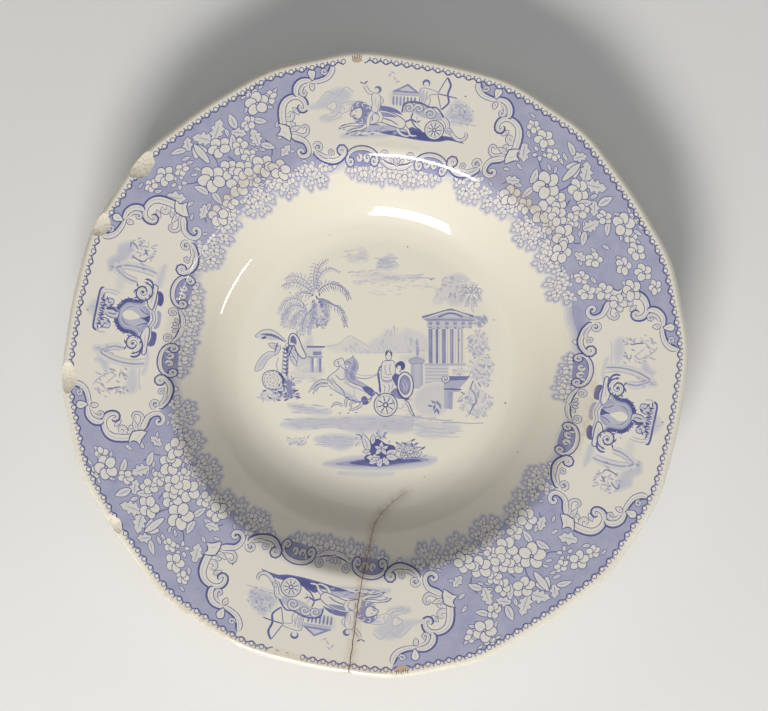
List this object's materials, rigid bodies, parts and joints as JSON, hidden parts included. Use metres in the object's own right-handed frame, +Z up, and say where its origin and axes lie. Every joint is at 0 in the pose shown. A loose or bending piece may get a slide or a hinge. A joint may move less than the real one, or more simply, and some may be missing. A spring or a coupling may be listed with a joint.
{
  "type": "cracked soup plate",
  "caption": "Round rimmed soup plate of glazed blue-and-white earthenware, with a foot ring, chips in its panelled edge and a crack from the edge into the well.",
  "frame": {"origin": "on the plate's axis, in the plane that the foot ring stands on", "axes": "+Z up along the plate's axis, out of the well; the crack reaches the edge near -Y, and the chips are on the -X side"},
  "size_m": [0.2662, 0.2662, 0.038],
  "materials": {
    "printed_earthenware": "clear gloss glaze over a violet-blue transfer print on a cream body, crazed and stained, with matte biscuit in the chips"
  },
  "bodies": {
    "root": {"plate": "printed_earthenware"}
  },
  "joints": []
}
